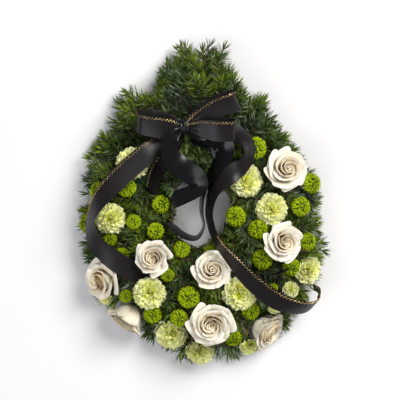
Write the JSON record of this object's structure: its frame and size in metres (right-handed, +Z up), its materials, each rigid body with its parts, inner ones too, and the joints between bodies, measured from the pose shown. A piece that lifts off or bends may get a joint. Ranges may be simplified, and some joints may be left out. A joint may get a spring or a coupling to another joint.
{
  "type": "funeral wreath",
  "caption": "Teardrop funeral wreath of fir sprays, white roses, pale green carnations and green button chrysanthemums with a black satin bow, lying flat.",
  "frame": {"origin": "under the middle of the whole wreath, on the surface it lies on", "axes": "+Z up out of the wreath's face, +Y from the round end to the pointed tip, +X to the right as seen from above"},
  "size_m": [0.4533, 0.6003, 0.1403],
  "materials": {
    "tray": "moulded dark green",
    "foam": "fine open cell foam",
    "fir": "waxy needles",
    "rose_petal": "soft petal",
    "rose_stem": "green stem",
    "carnation": "soft petal",
    "mum": "soft petal",
    "ribbon": "satin"
  },
  "bodies": {
    "root": {"base_tray": "tray", "foam_ring": "foam", "rose_1_petals": "rose_petal", "rose_2_petals": "rose_petal", "rose_3_petals": "rose_petal", "rose_4_petals": "rose_petal", "rose_5_petals": "rose_petal", "rose_6_petals": "rose_petal", "rose_7_petals": "rose_petal", "rose_8_petals": "rose_petal", "rose_1_stem": "rose_stem", "rose_2_stem": "rose_stem", "rose_3_stem": "rose_stem", "rose_4_stem": "rose_stem", "rose_5_stem": "rose_stem", "rose_6_stem": "rose_stem", "rose_7_stem": "rose_stem", "rose_8_stem": "rose_stem", "carnation_1": "carnation", "carnation_2": "carnation", "carnation_3": "carnation", "carnation_4": "carnation", "carnation_5": "carnation", "carnation_6": "carnation", "carnation_7": "carnation", "carnation_8": "carnation", "carnation_9": "carnation", "carnation_10": "carnation", "carnation_11": "carnation", "carnation_12": "carnation", "carnation_13": "carnation", "mum_spray_1": "mum", "mum_spray_2": "mum", "mum_spray_3": "mum", "mum_spray_4": "mum", "mum_spray_5": "mum", "mum_spray_6": "mum", "mum_spray_7": "mum", "mum_spray_8": "mum", "mum_spray_9": "mum", "mum_spray_10": "mum", "mum_spray_11": "mum", "bow": "ribbon", "ribbon_curl_left": "ribbon", "ribbon_curl_right": "ribbon", "ribbon_tail_left": "ribbon", "ribbon_tail_inner": "ribbon", "ribbon_tail_right": "ribbon", "fir_spray_1": "fir", "fir_spray_2": "fir", "fir_spray_3": "fir", "fir_spray_4": "fir", "fir_spray_5": "fir", "fir_spray_6": "fir", "fir_spray_7": "fir", "fir_spray_8": "fir", "fir_spray_9": "fir", "fir_spray_10": "fir", "fir_spray_11": "fir", "fir_spray_12": "fir"}
  },
  "joints": []
}
